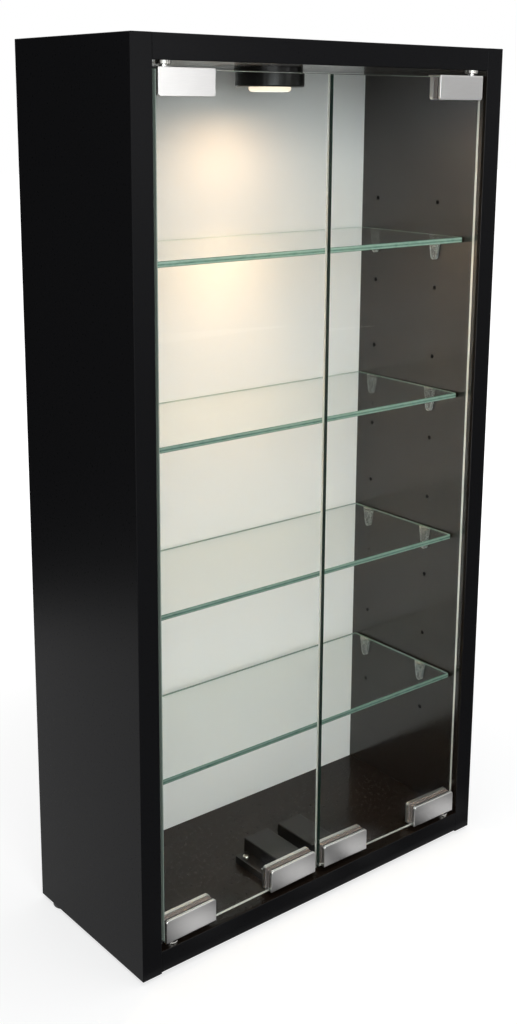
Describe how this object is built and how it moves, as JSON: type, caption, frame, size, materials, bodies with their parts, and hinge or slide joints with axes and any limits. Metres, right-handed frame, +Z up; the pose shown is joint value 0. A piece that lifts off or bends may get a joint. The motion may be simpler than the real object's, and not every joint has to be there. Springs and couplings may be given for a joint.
{
  "type": "display cabinet",
  "caption": "Tall narrow display cabinet: dark carcass, pale back, glass shelves on clear pins, frameless glass doors on pivot clips, a push latch on the floor and a round lamp under the top.",
  "frame": {"origin": "on the ground under the middle of the cabinet", "axes": "+Z up, the doors face -Y, +X to the right of somebody who looks at the doors"},
  "size_m": [0.496, 0.205, 0.9545],
  "materials": {
    "carcass_board": "dark semi-gloss laminate",
    "back_board": "satin white laminate",
    "zinc_screw": "zinc plated",
    "dowel_wood": "plain beech",
    "glide_plastic": "moulded",
    "bush_nickel": "turned, nickel plated",
    "latch_plastic": "moulded",
    "nickel_screw": "nickel plated",
    "lamp_plate_steel": "plain",
    "lamp_black": "satin black",
    "lamp_lens": "frosted",
    "light_board": "white board",
    "shelf_glass": "clear float glass, polished edges",
    "door_glass": "clear toughened glass, polished edges",
    "clear_plastic": "clear moulded",
    "clip_steel": "fine brushed",
    "pad_rubber": "soft grey pad",
    "clip_screw_steel": "plated",
    "pin_steel": "turned and polished",
    "plunger_plastic": "moulded",
    "magnet_nickel": "nickel plated"
  },
  "bodies": {
    "cabinet": {"left_side_panel": "carcass_board", "right_side_panel": "carcass_board", "bottom_panel": "carcass_board", "top_panel": "carcass_board", "back_panel": "back_board", "back_panel_screws": "zinc_screw", "carcass_dowels": "dowel_wood", "rear_glides": "glide_plastic", "front_glides": "glide_plastic", "bottom_pivot_bushes": "bush_nickel", "top_pivot_bushes": "bush_nickel", "latch_housing": "latch_plastic", "latch_screws": "nickel_screw", "lamp_mounting_plate": "lamp_plate_steel", "lamp_screws": "zinc_screw", "lamp_housing": "lamp_black", "lamp_lens": "lamp_lens", "lamp_light_board": "light_board", "shelf_1": "shelf_glass", "shelf_1_supports": "clear_plastic", "shelf_2": "shelf_glass", "shelf_2_supports": "clear_plastic", "shelf_3": "shelf_glass", "shelf_3_supports": "clear_plastic", "shelf_4": "shelf_glass", "shelf_4_supports": "clear_plastic"},
    "left_door": {"left_door_glass": "door_glass", "left_door_bottom_hinge_clip": "clip_steel", "left_door_top_hinge_clip": "clip_steel", "left_door_strike_clip": "clip_steel", "left_door_clip_pads": "pad_rubber", "left_door_clip_screws": "clip_screw_steel", "left_door_pivot_pins": "pin_steel"},
    "left_plunger": {"left_latch_plunger": "plunger_plastic", "left_latch_magnet": "magnet_nickel"},
    "right_door": {"right_door_glass": "door_glass", "right_door_bottom_hinge_clip": "clip_steel", "right_door_top_hinge_clip": "clip_steel", "right_door_strike_clip": "clip_steel", "right_door_clip_pads": "pad_rubber", "right_door_clip_screws": "clip_screw_steel", "right_door_pivot_pins": "pin_steel"},
    "right_plunger": {"right_latch_plunger": "plunger_plastic", "right_latch_magnet": "magnet_nickel"}
  },
  "joints": [
    {"name": "left_door_hinge", "type": "hinge", "parent": "cabinet", "child": "left_door", "pos_m": [-0.2065, -0.0942, 0.48], "axis": [0, 0, -1], "range_deg": [0, 110]},
    {"name": "right_door_hinge", "type": "hinge", "parent": "cabinet", "child": "right_door", "pos_m": [0.2065, -0.0942, 0.48], "axis": [0, 0, 1], "range_deg": [0, 110]},
    {"name": "left_plunger_slide", "type": "slide", "parent": "cabinet", "child": "left_plunger", "axis": [0, -1, 0], "range_m": [0, 0.01]},
    {"name": "right_plunger_slide", "type": "slide", "parent": "cabinet", "child": "right_plunger", "axis": [0, -1, 0], "range_m": [0, 0.01]}
  ],
  "couplings": [
    {"joint": "left_plunger_slide", "follows": "left_door_hinge", "m_per_rad": 0.0052},
    {"joint": "right_plunger_slide", "follows": "right_door_hinge", "m_per_rad": 0.0052}
  ]
}
